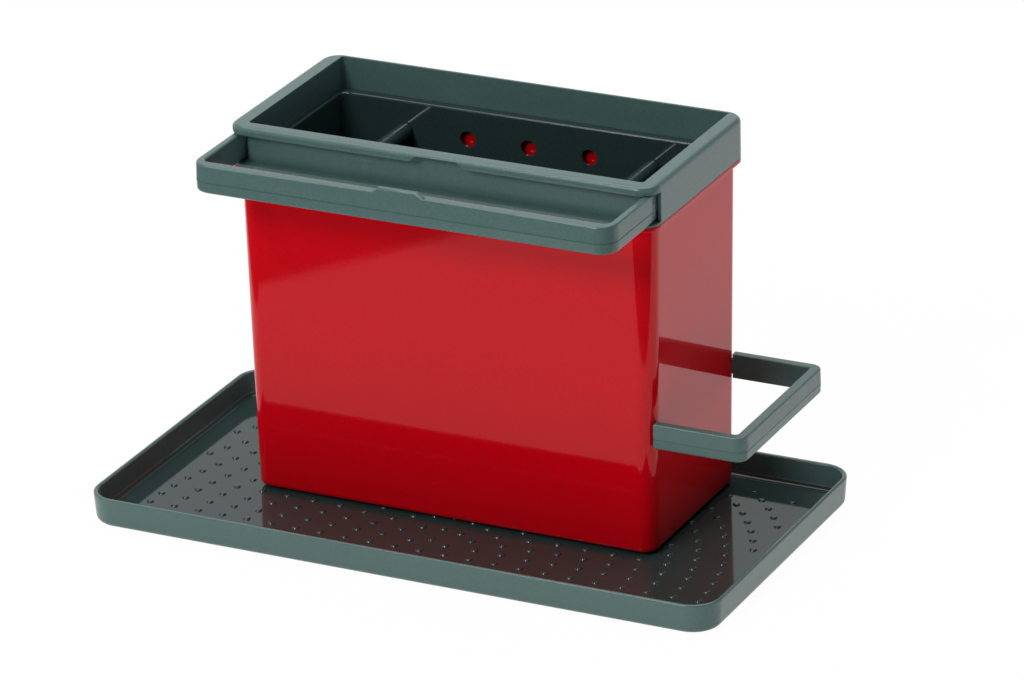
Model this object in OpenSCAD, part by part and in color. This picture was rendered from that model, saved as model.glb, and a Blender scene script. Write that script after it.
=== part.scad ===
// Countertop cleaning caddy: a bin on a drip tray, with a collar, a basket and two towel rails.
// Origin at the middle of the tray's underside. X runs along the tray, Y to the back, Z up.

/* [Drip tray] */
// Length of the tray over its rim
tray_l = 285; // [260:1:320]
// Depth of the tray over its rim, front to back
tray_w = 150; // [136:1:180]
// Height of the tray
tray_h = 13; // [9:0.5:25]
// Thickness of the tray's wall
tray_wall = 2; // [1.4:0.1:3]
// Thickness of the tray's floor
tray_floor = 2; // [1.4:0.1:3]
// Corner radius of the tray over its rim, seen from above
tray_corner_r = 13; // [9:0.5:20]
// How far the wall leans in from rim to underside
tray_lean = 1; // [0:0.1:2]
// Radius of the tray's lower edge
tray_edge_r = 2.5; // [1:0.1:4]
// Radius between the tray's floor and its wall, inside
tray_inner_r = 2.2; // [1:0.1:4]

/* [Tray nubs] */
// Diameter of a nub at the floor
nub_d = 3.6; // [2:0.1:5]
// Diameter of a nub's flat top
nub_top_d = 2; // [1:0.1:3]
// Height of a nub
nub_h = 0.8; // [0.4:0.1:1.6]
// Step from one arc of nubs to the next
nub_ring_step = 11.4; // [8:0.1:18]
// Step from nub to nub along an arc
nub_arc_step = 9.2; // [7:0.1:16]
// Bare margin between the tray's rim and the nubs at the ends and the back
nub_margin = 16; // [10:1:30]
// Bare margin between the tray's rim and the nubs' straight front row
nub_front_margin = 27; // [16:1:40]

/* [Bin] */
// Length of the bin just under its rim
bin_l = 187.5; // [172:0.5:210]
// Depth of the bin just under its rim, front to back
bin_w = 88.5; // [82:0.5:100]
// Height of the bin
bin_h = 145.2; // [120:0.2:190]
// Thickness of the bin's wall
bin_wall = 2.2; // [1.6:0.1:2.6]
// Thickness of the bin's floor
bin_floor = 2.4; // [1.6:0.1:4]
// Corner radius of the bin just under its rim
bin_corner_r = 8.5; // [7:0.1:11]
// How far each wall leans in from rim to floor
bin_lean = 2.25; // [0.5:0.05:3]
// Radius of the bin's lower edge
bin_edge_r = 2.5; // [1:0.1:3.5]
// Radius between the bin's floor and its wall, inside
bin_inner_r = 2; // [1:0.1:3]
// Thickness of the bin's outward rim
bin_rim_h = 1.8; // [1:0.1:3]
// How far the bin stands behind the tray's middle
bin_back = 24; // [16:0.5:26]

/* [Collar] */
// How far the collar and the bin's rim stand out past the bin's wall
collar_out = 2.25; // [1.5:0.05:3.5]
// Thickness of the collar's top band and front lip
collar_lip = 3.6; // [3.2:0.1:6]
// Corner radius of the collar
collar_corner_r = 8; // [6:0.1:10]
// Thickness of the collar's outer skirt at its two ends
collar_skirt = 1.6; // [1.2:0.1:2]
// Thickness of the collar's back wall
collar_back_wall = 2; // [1.4:0.1:2.6]
// Thickness of the collar's inner wall
collar_inner_wall = 1.4; // [1:0.1:2]
// Thickness of the collar's base
collar_base = 1.2; // [0.8:0.1:2]
// Radius of the collar's top outer edge
collar_edge_r = 1.8; // [0.5:0.1:2.5]
// Thickness of the lip that locates the collar inside the bin
spigot_wall = 1.2; // [0.8:0.1:1.6]
// Depth of that lip
spigot_h = 7; // [4:0.5:12]

/* [Front rail] */
// Height of the front rail
front_rail_h = 12; // [10:0.1:13]
// Thickness of the front rail's bar
front_bar = 5.6; // [4:0.1:7]
// Thickness of the front rail's arms
front_arm = 3.6; // [3:0.1:4.2]
// Travel of the front rail from pulled out to pushed in
front_travel = 35; // [20:0.5:45]
// How far the pushed-in rail stays proud of the collar
front_proud = 0.4; // [0:0.1:2]
// Outer corner radius of the front rail
front_rail_r = 8; // [6:0.1:10]
// Inner corner radius of the front rail
front_rail_inner_r = 2.5; // [1.5:0.1:4]
// Width of the finger tab at its foot
tab_w = 24; // [16:0.5:40]
// Width of the finger tab along its top
tab_top_w = 17; // [10:0.5:30]
// Height of the finger tab
tab_h = 2.4; // [1.5:0.1:2.6]
// Thickness of the finger tab
tab_t = 2.8; // [2:0.1:3.6]
// Height of the click ridge on each arm
ridge_h = 5; // [3:0.5:8]
// How far the click ridge stands out
ridge_out = 0.2; // [0.1:0.05:0.25]
// Radius of the click ridge's round face
ridge_r = 1.2; // [0.8:0.1:2]

/* [Basket] */
// Width of the basket's rim at its two ends
basket_rim_side = 2; // [2:0.1:5]
// Width of the basket's rim at its front and back
basket_rim_front = 5.6; // [4.8:0.1:7]
// Thickness of the basket's rim
basket_rim_h = 2.6; // [1.6:0.1:4]
// Thickness of the basket's wall
basket_wall = 1.8; // [1.2:0.1:2.2]
// Thickness of the basket's floor
basket_floor = 2; // [1.2:0.1:3]
// Depth of the basket below its rim
basket_h = 74; // [50:1:80]
// Corner radius inside the basket
basket_corner_r = 3; // [2.6:0.1:5]
// Diameter of the vent holes in the basket's back wall
vent_d = 7; // [4:0.5:9]
// Step between the vent holes
vent_step = 28; // [16:1:34]
// Height from the basket's rim down to the vent holes
vent_drop = 13; // [11:0.5:24]
// Diameter of the drain holes in the basket's floor
drain_d = 6; // [3:0.5:8]
// Step between the drain holes
drain_step = 18; // [12:1:30]

/* [Dividers] */
// Distance of each divider from the basket's middle
divider_x = 57; // [40:0.5:66]
// Thickness of a divider's plate
divider_t = 2.4; // [1.6:0.1:3.4]
// Diameter of the round bead along a divider's top
divider_bead_d = 7; // [5:0.1:9]
// Height from the basket's rim down to the top of the beads
divider_drop = 9.5; // [4:0.5:20]
// Thickness of the ribs that guide a divider
guide_t = 1.6; // [1:0.1:2.4]
// How far the ribs stand out of the basket's wall
guide_out = 2; // [1.5:0.1:3]
// Height of the ribs above the basket's floor
guide_h = 40; // [20:1:44]

/* [Side rail] */
// How far the side rail reaches out from the bin
side_reach = 38.5; // [25:0.5:45]
// How far the side rail's arms stand in from the bin's front and back
side_inset = 1.3; // [0.8:0.1:4]
// Height of the side rail
side_rail_h = 10.8; // [8:0.1:14]
// Height of the side rail's underside above the bin's foot
side_rise = 47.8; // [35:0.1:52]
// Thickness of the side rail's bar
side_bar = 4.6; // [3.5:0.1:6]
// Thickness of the side rail's arms
side_arm = 4.2; // [3.6:0.1:6]
// Outer corner radius of the side rail
side_rail_r = 5; // [3.6:0.1:7]
// Inner corner radius of the side rail
side_rail_inner_r = 1.5; // [1:0.1:2.5]
// Thickness of the tongues that enter the bin
tongue_t = 1.6; // [1.2:0.1:2.6]
// Height of the tongues
tongue_h = 6.4; // [4:0.1:7.4]
// Length of the tongues past the bin's face
tongue_l = 6.5; // [5:0.1:8]
// How far the arms' ends reach past that face, where the bin's corners fall away
side_seat = 0.8; // [0.4:0.1:1.2]

/* [Clearances] */
// Running clearance round the arms of the front rail
slide_gap = 0.3; // [0.2:0.05:0.4]
// Clearance between the collar's lip and the bin's wall
spigot_gap = 0.4; // [0.2:0.05:0.5]
// Clearance round the basket's rim and wall
basket_gap = 0.5; // [0.3:0.05:0.6]
// Clearance between a divider and the basket
divider_gap = 0.35; // [0.2:0.05:0.6]
// Clearance of the side rail's tongues and of its arms' ends
plug_gap = 0.3; // [0.2:0.05:0.5]

/* [Hidden] */
$fn = 64;
grey = [0.33, 0.40, 0.39];
red = [0.74, 0.03, 0.08];
// Overlap that keeps a joined edge clean
eps = 0.01;
// How far a cutter runs past the surface that it cuts
past = 1;

// Levels
bin_z = tray_floor + nub_h;
collar_z = bin_z + bin_h;
ledge_z = collar_z + collar_base;
front_rail_z = ledge_z + slide_gap;
lip_z = front_rail_z + front_rail_h + slide_gap;
collar_top = lip_z + collar_lip;
collar_h = collar_top - collar_z;
basket_rim_top = ledge_z + basket_rim_h;
basket_z = basket_rim_top - basket_h;
side_rail_z = bin_z + side_rise;

// Tray: the corner centres lie tray_corner_r in from the rim
tray_slope = tray_lean / (tray_h - tray_wall / 2);
tray_foot_x = tray_corner_r - tray_lean;
nub_end = tray_l / 2 - nub_margin;
nub_back = tray_w / 2 - nub_margin;
nub_front = -tray_w / 2 + nub_front_margin;
nub_rings = ceil(norm([nub_end, nub_back - nub_front]) / nub_ring_step);

// Bin: the same, measured from the corner centres under the rim
bin_slope = bin_lean / bin_h;
bin_foot_x = bin_corner_r - bin_lean;
function bin_half(size, z) = size / 2 - bin_lean + (z - bin_z) * bin_slope;

// Collar outline and the planes of its walls
collar_l = bin_l + 2 * collar_out;
collar_w = bin_w + 2 * collar_out;
collar_front = bin_back - collar_w / 2;
collar_back = bin_back + collar_w / 2;
arm_outer_x = collar_l / 2 - collar_skirt - slide_gap;
arm_inner_x = arm_outer_x - front_arm;
inner_wall_x = arm_inner_x - slide_gap;
opening_x = inner_wall_x - collar_inner_wall;
inner_wall_y = collar_front - front_proud + front_bar + slide_gap;
opening_front = inner_wall_y + collar_inner_wall;
opening_back = collar_back - collar_back_wall;
opening_mid = (opening_front + opening_back) / 2;
spigot_l = bin_l - 2 * (bin_wall + spigot_gap);
spigot_w = bin_w - 2 * (bin_wall + spigot_gap);
spigot_r = bin_corner_r - bin_wall - spigot_gap;

// Basket, hung in the collar's opening
rim_l = 2 * (opening_x - basket_gap);
rim_w = opening_back - opening_front - 2 * basket_gap;
basket_in_l = rim_l - 2 * basket_rim_side;
basket_in_w = rim_w - 2 * basket_rim_front;
basket_out_l = basket_in_l + 2 * basket_wall;
basket_out_w = basket_in_w + 2 * basket_wall;
basket_out_r = basket_corner_r + basket_wall;
ledge_l = basket_out_l + 2 * basket_gap;
ledge_w = basket_out_w + 2 * basket_gap;
ledge_r = basket_out_r + basket_gap;
basket_floor_top = basket_z + basket_floor;

// Front rail: its arms reach the back end of the collar's channels when it is pushed in
rail_front = collar_front - front_proud - front_travel;
channel_back = collar_back - collar_corner_r;
rail_arm_end = channel_back - slide_gap - front_travel;
skirt_front = collar_front + collar_corner_r;

// Side rail: the arms end at the bin's right wall and follow its corners
side_face_x = bin_half(bin_l, side_rail_z + side_rail_h) + plug_gap;
side_outer_x = bin_l / 2 + side_reach;
side_w = 2 * (bin_half(bin_w, side_rail_z) - side_inset);
tongue_y = side_w / 2 - side_arm + tongue_t / 2;
tongue_z = side_rail_z + side_rail_h / 2;

// Rounded rectangle seen from above
module plan(l, w, r) {
    square([l - 2 * r, w], center = true);
    square([l, w - 2 * r], center = true);
    for (x = [-1, 1], y = [-1, 1])
        translate([x * (l / 2 - r), y * (w / 2 - r)]) circle(r);
}

// Plate with that outline
module plate(l, w, r, h) {
    linear_extrude(h) plan(l, w, r);
}

// Sweeps a profile round a rounded rectangle; its x runs outwards from the corner centres
module sweep_round(l, w, r) {
    run_x = l / 2 - r;
    run_y = w / 2 - r;
    for (turn = [0 : 3]) {
        x = turn == 0 || turn == 3 ? run_x : -run_x;
        y = turn < 2 ? run_y : -run_y;
        translate([x, y, 0]) rotate(90 * turn) rotate_extrude(angle = 90) children();
    }
    for (turn = [0 : 3]) {
        away = turn % 2 == 0 ? run_x : run_y;
        long = turn % 2 == 0 ? run_y : run_x;
        rotate(90 * turn) translate([away, 0, 0])
            rotate([90, 0, 0]) linear_extrude(2 * long, center = true) children();
    }
}

// Half-section of a leaning wall with a rounded foot: foot at x, thickness t, height h, fillet_r inside
module wall_profile(x, slope, h, t, floor_t, edge_r, fillet_r) {
    lean = sqrt(1 + slope * slope);
    fillet = [x + (floor_t + fillet_r) * slope - t - fillet_r * lean, floor_t + fillet_r];
    fillet_end = fillet + fillet_r / lean * [1, -slope];
    round_x = x + edge_r * slope - edge_r * lean;
    touch = [round_x + edge_r / lean, edge_r - edge_r * slope / lean];
    polygon([[0, 0], [round_x, 0], touch, [x + h * slope, h], [x + h * slope - t, h],
        [x + floor_t * slope - t, floor_t], [0, floor_t]]);
    translate([round_x, edge_r]) circle(edge_r);
    difference() {
        polygon([[fillet.x, floor_t - eps], [x + floor_t * slope - t + eps, floor_t - eps],
            fillet_end + [eps, 0], fillet_end, [fillet.x, floor_t]]);
        translate(fillet) circle(fillet_r);
    }
}

// Cutter that rounds the top outer edge of a plate
module edge_cutter(l, w, r, edge_r) {
    sweep_round(l, w, r) difference() {
        translate([r - edge_r, -edge_r]) square([edge_r + past, edge_r + past]);
        translate([r - edge_r, -edge_r]) circle(edge_r);
    }
}

// Nubs on concentric arcs about the middle of the front row
module nubs() {
    for (ring = [0 : nub_rings]) {
        r = ring * nub_ring_step;
        steps = max(1, round(PI * r / nub_arc_step));
        for (i = [0 : ring == 0 ? 0 : steps]) {
            x = r * cos(180 * i / steps);
            y = nub_front + r * sin(180 * i / steps);
            if (abs(x) <= nub_end && y <= nub_back)
                translate([x, y, tray_floor - eps])
                    cylinder(h = nub_h + eps, d1 = nub_d, d2 = nub_top_d, $fn = 16);
        }
    }
}

module drip_tray() {
    core_l = tray_l - 2 * tray_corner_r;
    core_w = tray_w - 2 * tray_corner_r;
    color(grey) {
        sweep_round(tray_l, tray_w, tray_corner_r) {
            wall_profile(tray_foot_x, tray_slope, tray_h - tray_wall / 2, tray_wall, tray_floor,
                tray_edge_r, tray_inner_r);
            translate([tray_corner_r - tray_wall / 2, tray_h - tray_wall / 2])
                circle(tray_wall / 2);
        }
        translate([-core_l / 2, -core_w / 2, 0]) cube([core_l, core_w, tray_floor]);
        nubs();
    }
}

module bin() {
    core_l = bin_l - 2 * bin_corner_r;
    core_w = bin_w - 2 * bin_corner_r;
    slot = [2 * bin_corner_r, tongue_t + 2 * plug_gap, tongue_h + 2 * plug_gap];
    color(red) difference() {
        translate([0, bin_back, bin_z]) {
            sweep_round(bin_l, bin_w, bin_corner_r)
                wall_profile(bin_foot_x, bin_slope, bin_h, bin_wall, bin_floor, bin_edge_r, bin_inner_r);
            translate([-core_l / 2, -core_w / 2, 0]) cube([core_l, core_w, bin_floor]);
            translate([0, 0, bin_h - bin_rim_h]) linear_extrude(bin_rim_h) difference() {
                plan(collar_l, collar_w, collar_corner_r);
                plan(bin_l - bin_wall, bin_w - bin_wall, bin_corner_r - bin_wall / 2);
            }
        }
        for (side = [-1, 1])
            translate([bin_l / 2, bin_back + side * tongue_y, tongue_z]) cube(slot, center = true);
    }
}

// Collar with its lip and opening, before the channels are cut
module collar_blank() {
    difference() {
        union() {
            translate([0, bin_back, collar_z]) plate(collar_l, collar_w, collar_corner_r, collar_h);
            translate([0, bin_back, collar_z - spigot_h])
                linear_extrude(spigot_h + collar_base) difference() {
                    plan(spigot_l, spigot_w, spigot_r);
                    plan(spigot_l - 2 * spigot_wall, spigot_w - 2 * spigot_wall, spigot_r - spigot_wall);
                }
        }
        translate([0, bin_back, collar_top])
            edge_cutter(collar_l, collar_w, collar_corner_r, collar_edge_r);
        translate([-opening_x, opening_front, ledge_z])
            cube([2 * opening_x, opening_back - opening_front, collar_h]);
        translate([0, opening_mid, collar_z - spigot_h - past])
            plate(ledge_l, ledge_w, ledge_r, collar_h + spigot_h);
    }
}

// Notch under the front lip that the finger tab enters
module tab_notch() {
    foot = tab_w / 2 + 2 * slide_gap;
    top = tab_top_w / 2 + 2 * slide_gap;
    translate([0, inner_wall_y, lip_z - eps]) rotate([90, 0, 0])
        linear_extrude(inner_wall_y - collar_front + past)
            polygon([[-foot, 0], [foot, 0], [top, tab_h + eps], [-top, tab_h + eps]]);
}

// What is cut away for the front rail, seen from above; the inner wall keeps rounded front corners
module rail_room() {
    channel_w = front_arm + 2 * slide_gap;
    wall_depth = collar_back - inner_wall_y;
    difference() {
        union() {
            translate([-collar_l / 2 - past, collar_front - past])
                square([collar_l + 2 * past, skirt_front - collar_front + past]);
            for (side = [-1, 1])
                translate([side * (inner_wall_x + channel_w / 2) - channel_w / 2, collar_front])
                    square([channel_w, channel_back - collar_front]);
        }
        translate([0, inner_wall_y + wall_depth / 2])
            plan(2 * inner_wall_x, wall_depth, front_rail_inner_r);
    }
}

module collar() {
    color(grey) difference() {
        collar_blank();
        translate([0, 0, ledge_z]) linear_extrude(lip_z - ledge_z) rail_room();
        tab_notch();
    }
}

// U seen from above: open towards +Y, outer face at y = 0, arms w apart over their outsides
module u_plan(w, reach, bar, arm, outer_r, inner_r) {
    difference() {
        union() {
            translate([-w / 2, outer_r]) square([w, reach - outer_r]);
            translate([-w / 2 + outer_r, 0]) square([w - 2 * outer_r, reach]);
            for (side = [-1, 1]) translate([side * (w / 2 - outer_r), outer_r]) circle(outer_r);
        }
        translate([-w / 2 + arm, bar + inner_r]) square([w - 2 * arm, reach]);
        translate([-w / 2 + arm + inner_r, bar]) square([w - 2 * (arm + inner_r), reach]);
        for (side = [-1, 1]) translate([side * (w / 2 - arm - inner_r), bar + inner_r]) circle(inner_r);
    }
}

module front_rail() {
    tab = [[-tab_w / 2, 0], [tab_w / 2, 0], [tab_top_w / 2, tab_h], [-tab_top_w / 2, tab_h]];
    color(grey) {
        translate([0, rail_front, front_rail_z]) linear_extrude(front_rail_h)
            u_plan(2 * arm_outer_x, rail_arm_end - rail_front, front_bar, front_arm,
                front_rail_r, front_rail_inner_r);
        translate([0, rail_front + tab_t, front_rail_z + front_rail_h - eps]) rotate([90, 0, 0])
            linear_extrude(tab_t) polygon(tab);
        for (side = [-1, 1])
            translate([side * (arm_outer_x + ridge_out - ridge_r), skirt_front - 2 * ridge_r,
                    front_rail_z + (front_rail_h - ridge_h) / 2])
                cylinder(h = ridge_h, r = ridge_r);
    }
}

// Guide ribs of one divider, on the basket's front and back walls
module guides() {
    slot = divider_t + 2 * divider_gap;
    for (x = [-1, 1], y = [-1, 1])
        translate([x * (slot + guide_t) / 2, y * (basket_in_w - guide_out + eps) / 2, guide_h / 2])
            cube([guide_t, guide_out + eps, guide_h + eps], center = true);
}

module drain_holes() {
    rows = floor((basket_in_w / 2 - drain_d) / drain_step);
    centre_n = floor((divider_x - drain_d - guide_t - divider_t) / drain_step);
    side_x = (divider_x + basket_in_l / 2) / 2;
    columns = concat([-side_x, side_x], [for (i = [-centre_n : centre_n]) i * drain_step]);
    for (x = columns, i = [-rows : rows])
        translate([x, i * drain_step, -past]) cylinder(h = basket_floor + 2 * past, d = drain_d);
}

module basket() {
    vent_z = basket_h - vent_drop;
    color(grey) translate([0, opening_mid, basket_z]) difference() {
        union() {
            difference() {
                union() {
                    plate(basket_out_l, basket_out_w, basket_out_r, basket_h);
                    translate([0, 0, basket_h - basket_rim_h])
                        plate(rim_l, rim_w, basket_corner_r, basket_rim_h);
                }
                translate([0, 0, basket_floor]) plate(basket_in_l, basket_in_w, basket_corner_r, basket_h);
            }
            for (side = [-1, 1]) translate([side * divider_x, 0, basket_floor]) guides();
        }
        drain_holes();
        for (i = [-1 : 1])
            translate([i * vent_step, basket_out_w / 2, vent_z]) rotate([90, 0, 0])
                cylinder(h = 4 * basket_wall, d = vent_d, center = true);
    }
}

// Divider standing on the basket's floor, its bead along Y
module divider() {
    length = basket_in_w - 2 * divider_gap;
    bead_z = basket_rim_top - divider_drop - divider_bead_d / 2 - basket_floor_top;
    translate([0, opening_mid, basket_floor_top]) {
        translate([-divider_t / 2, -length / 2, 0]) cube([divider_t, length, bead_z]);
        translate([0, 0, bead_z]) rotate([90, 0, 0])
            cylinder(h = length, d = divider_bead_d, center = true);
    }
}

module divider_left() {
    color(grey) translate([-divider_x, 0, 0]) divider();
}

module divider_right() {
    color(grey) translate([divider_x, 0, 0]) divider();
}

module side_rail() {
    top = side_rail_z + side_rail_h;
    bin_r = bin_foot_x + (top - bin_z) * bin_slope;
    color(grey) {
        difference() {
            translate([side_outer_x, bin_back, side_rail_z]) rotate(90) linear_extrude(side_rail_h)
                u_plan(side_w, side_outer_x - side_face_x + side_seat, side_bar, side_arm,
                    side_rail_r, side_rail_inner_r);
            translate([0, bin_back, side_rail_z - past])
                plate(2 * side_face_x, 2 * (bin_half(bin_w, top) + plug_gap), bin_r + plug_gap,
                    side_rail_h + 2 * past);
        }
        for (side = [-1, 1])
            translate([side_face_x - tongue_l / 2 + eps, bin_back + side * tongue_y, tongue_z])
                cube([tongue_l + 2 * eps, tongue_t, tongue_h], center = true);
    }
}

drip_tray();
bin();
collar();
front_rail();
basket();
divider_left();
divider_right();
side_rail();
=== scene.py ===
"""Countertop cleaning caddy: a red bin on a drip tray, with a collar, a basket and two towel rails."""

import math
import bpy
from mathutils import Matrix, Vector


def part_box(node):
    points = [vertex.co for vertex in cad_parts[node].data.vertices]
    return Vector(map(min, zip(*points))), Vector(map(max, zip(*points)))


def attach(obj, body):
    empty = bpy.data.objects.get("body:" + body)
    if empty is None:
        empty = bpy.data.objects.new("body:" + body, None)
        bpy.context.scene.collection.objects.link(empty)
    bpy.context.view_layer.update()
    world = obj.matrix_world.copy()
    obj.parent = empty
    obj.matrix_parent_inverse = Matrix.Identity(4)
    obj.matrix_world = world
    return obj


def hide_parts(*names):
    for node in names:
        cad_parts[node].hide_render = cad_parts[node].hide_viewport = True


bl_info = {
    "name": "Cleaning Caddy",
    "version": (1, 0, 0),
    "blender": (4, 5, 0),
    "location": "3D View > Sidebar > Caddy",
    "description": "Models a countertop cleaning caddy around its packed frame",
    "category": "Add Mesh",
}

import bmesh
import bpy
from bpy.props import FloatProperty, FloatVectorProperty, PointerProperty
from mathutils import Matrix, Vector

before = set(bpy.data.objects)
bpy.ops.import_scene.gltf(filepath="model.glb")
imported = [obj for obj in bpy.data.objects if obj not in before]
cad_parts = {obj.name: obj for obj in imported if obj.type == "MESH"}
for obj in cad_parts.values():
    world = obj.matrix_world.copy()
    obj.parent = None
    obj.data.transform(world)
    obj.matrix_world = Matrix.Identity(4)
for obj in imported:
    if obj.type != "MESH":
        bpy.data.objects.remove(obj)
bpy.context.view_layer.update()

# Points that are closer than this count as one
NEAR = 1e-5
# How far a cut runs past the faces that it opens
PAST = 0.001
# Least step between two outlines of a loft at one height
STEP = 0.0002
# Gap between outlines while they are bridged
APART = 0.25
# A face whose normal rises more than this looks up
UPWARD = 0.9
# Segments of a rounded corner, and sides of the round shapes
CORNER_STEPS = 12
NUB_SIDES = 14
ROD_SIDES = 32
BEAD_SIDES = 40
# Point that the lamps face, and how far off they stand
LAMP_AIM = Vector((0, 0.02, 0.09))
LAMP_DISTANCE = 2
# Angles between faces: shaded smooth below the first, rounded above the second, merged below the third
CREASE_ANGLE = math.radians(32)
SHARP_ANGLE = math.radians(40)
FLAT_ANGLE = math.radians(0.05)


def metres(name, description, default):
    """A size in metres that a user may change."""
    return FloatProperty(
        name=name,
        description=description,
        default=default,
        min=0,
        precision=5,
        unit="LENGTH",
        subtype="DISTANCE",
    )


def colour_property(name, description, default):
    """A colour that a user may change, in linear light."""
    return FloatVectorProperty(
        name=name, description=description, default=default, size=3, min=0, max=1, subtype="COLOR"
    )


def fraction(name, description, default):
    """A share from 0 to 1 that a user may change."""
    limits = {"min": 0, "max": 1}
    return FloatProperty(name=name, description=description, default=default, subtype="FACTOR", **limits)


def amount(name, description, default):
    """A strength, an index or another amount from 0 up that a user may change."""
    return FloatProperty(name=name, description=description, default=default, min=0)


def degrees(name, description, default):
    """An angle that a user may change, given in degrees."""
    return FloatProperty(
        name=name, description=description, default=math.radians(default), unit="ROTATION", subtype="ANGLE"
    )


class CaddyTraySizes(bpy.types.PropertyGroup):
    """Sizes of the drip tray"""

    wall: metres("Wall", "Thickness of the tray's wall", 0.002)
    floor: metres("Floor", "Thickness of the tray's floor", 0.002)
    corner: metres("Corner radius", "Corner radius of the tray over its rim", 0.013)
    lean: metres("Lean", "How far the wall leans in from rim to underside", 0.001)
    lower_edge: metres("Lower edge", "Radius of the tray's lower edge", 0.0025)
    inner_edge: metres("Inner edge", "Radius between the tray's floor and wall", 0.0022)
    rim_edge: metres("Rim edge", "Radius on each side of the rim", 0.00095)
    nub: metres("Nub radius", "Radius of a nub at the floor", 0.0018)
    nub_top: metres("Nub top radius", "Radius of a nub's top before it is rounded", 0.00125)
    nub_height: metres("Nub height", "Height of a nub above the floor", 0.00065)
    nub_round: fraction("Nub rounding", "Rounded share of a nub's height", 0.55)
    nub_root: metres("Nub root", "How far a nub reaches into the floor", 0.0004)
    ring_step: metres("Ring step", "Step from one arc of nubs to the next", 0.0114)
    arc_step: metres("Arc step", "Step from nub to nub along an arc", 0.0092)
    margin: metres("Margin", "Bare margin at the ends and the back", 0.016)
    front_margin: metres("Front margin", "Bare margin before the straight front row", 0.027)


class CaddyBinSizes(bpy.types.PropertyGroup):
    """Sizes of the bin"""

    wall: metres("Wall", "Thickness of the bin's wall", 0.0022)
    floor: metres("Floor", "Thickness of the bin's floor", 0.0024)
    rim_out: metres("Rim width", "How far the rim stands out past the wall", 0.00225)
    rim: metres("Rim", "Thickness of the rim", 0.0018)
    rim_corner: metres("Rim corner radius", "Corner radius of the rim", 0.008)
    corner: metres("Corner radius", "Corner radius just under the rim", 0.0085)
    lean: metres("Lean", "How far each wall leans in from rim to floor", 0.00225)
    lower_edge: metres("Lower edge", "Radius of the bin's lower edge", 0.0025)
    inner_edge: metres("Inner edge", "Radius between floor and wall inside", 0.002)
    rim_edge: metres("Rim edge", "Radius on the edges of the rim", 0.0004)
    slot_room: metres("Slot room", "Clearance round the side rail's tongues", 0.0003)


class CaddyCollarSizes(bpy.types.PropertyGroup):
    """Sizes of the collar"""

    corner: metres("Corner radius", "Corner radius of the collar", 0.008)
    base: metres("Base", "Thickness of the base", 0.0012)
    lip: metres("Lip", "Thickness of the top band", 0.0036)
    skirt: metres("Skirt", "Thickness of the outer skirt at the ends", 0.0016)
    back_wall: metres("Back wall", "Thickness of the back wall", 0.002)
    inner_wall: metres("Inner wall", "Thickness of the inner wall", 0.0014)
    room: metres("Rail room", "Clearance round the front rail", 0.0003)
    opening_corner: metres("Opening corner", "Corner radius of the opening", 0.0011)
    ledge_corner: metres("Ledge corner", "Corner radius of the hole in the ledge", 0.0053)
    top_edge: metres("Top edge", "Radius of the top outer edge", 0.0018)
    fine_edge: metres("Fine edge", "Radius of the other edges", 0.00035)
    spigot: metres("Spigot", "Depth of the lip that locates the collar in the bin", 0.007)
    spigot_wall: metres("Spigot wall", "Thickness of that lip", 0.0012)
    spigot_room: metres("Spigot room", "Clearance of that lip in the bin", 0.0004)


class CaddyRailSizes(bpy.types.PropertyGroup):
    """Sizes of the two towel rails"""

    front_bar: metres("Front bar", "Thickness of the front rail's bar", 0.0056)
    front_arm: metres("Front arms", "Thickness of the front rail's arms", 0.0036)
    front_height: metres("Front height", "Height of the front rail", 0.012)
    front_corner: metres("Front corner", "Outer corner radius of the front rail", 0.008)
    front_inner: metres("Front inner corner", "Inner corner radius of the front rail", 0.0025)
    front_proud: metres("Front proud", "How far the pushed-in rail stays proud", 0.0004)
    tab: metres("Tab", "Width of the finger tab at its foot", 0.024)
    tab_top: metres("Tab top", "Width of the finger tab along its top", 0.017)
    tab_thick: metres("Tab thickness", "Thickness of the finger tab", 0.0028)
    ridge: metres("Click ridge", "Radius of the click ridge on each arm", 0.0012)
    ridge_out: metres("Ridge height", "How far a click ridge stands out", 0.0002)
    ridge_long: metres("Ridge length", "Length of a click ridge", 0.005)
    side_bar: metres("Side bar", "Thickness of the side rail's bar", 0.0046)
    side_arm: metres("Side arms", "Thickness of the side rail's arms", 0.0042)
    side_corner: metres("Side corner", "Outer corner radius of the side rail", 0.005)
    side_inner: metres("Side inner corner", "Inner corner radius of the side rail", 0.0015)
    tongue: metres("Tongue", "Thickness of the tongues that enter the bin", 0.0016)
    tongue_high: metres("Tongue height", "Height of the tongues", 0.0064)
    tongue_long: metres("Tongue length", "Length of the tongues past the bin's face", 0.0065)
    seat: metres("Seat", "How far the side arms reach past the bin's face at its corners", 0.0008)
    draft: metres("Draft", "How far the outer faces fall back from the parting line", 0.00014)
    flash: metres("Flash", "Half the width of the fine bead along the parting line", 0.00022)
    flash_out: metres("Flash height", "How far that bead stands out", 0.00014)
    parting: fraction("Parting", "Height of the parting line as a share of a rail's height", 0.4)
    front_edge: metres("Front edges", "Radius of the front rail's edges", 0.0009)
    side_edge: metres("Side edges", "Radius of the side rail's edges", 0.0007)


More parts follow.
